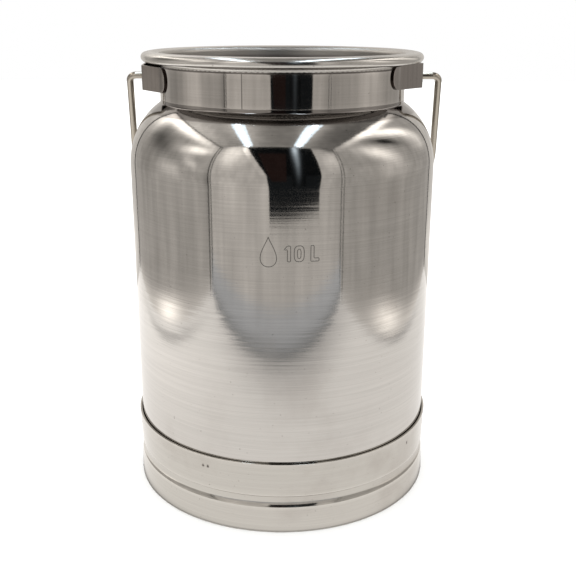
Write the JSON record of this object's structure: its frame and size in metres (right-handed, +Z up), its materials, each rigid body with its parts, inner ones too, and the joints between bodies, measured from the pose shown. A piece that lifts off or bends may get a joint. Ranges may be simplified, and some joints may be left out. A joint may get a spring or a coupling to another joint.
{
  "type": "milk can",
  "caption": "Open-topped stainless milk can with a rounded shoulder, rolled rim, grooved foot ring and a wire bail swinging on two strap ears.",
  "frame": {"origin": "centre of the foot ring's bottom edge, on the surface the can stands on", "axes": "+Z up along the can's axis, +X towards the right ear along the bail pivot, +Y to the back, where the bail hangs"},
  "size_m": [0.2421, 0.2319, 0.326],
  "materials": {
    "body_steel": "polished, with fine brushing round the wall",
    "pan_steel": "mill finish with turning marks",
    "neck_steel": "finely brushed round the neck",
    "rim_steel": "polished",
    "foot_steel": "satin, the groove bright",
    "ear_steel": "satin strip, brushed upright",
    "wire_steel": "bright drawn wire"
  },
  "bodies": {
    "can": {"body_shell": "body_steel", "bottom_pan": "pan_steel", "neck_collar": "neck_steel", "mouth_rim": "rim_steel", "foot_ring": "foot_steel", "left_ear": "ear_steel", "right_ear": "ear_steel"},
    "bail": {"bail_handle": "wire_steel"}
  },
  "joints": [
    {"name": "bail_swing", "type": "hinge", "parent": "can", "child": "bail", "pos_m": [0, 0, 0.3085], "axis": [1, 0, 0], "range_deg": [0, 290]}
  ]
}
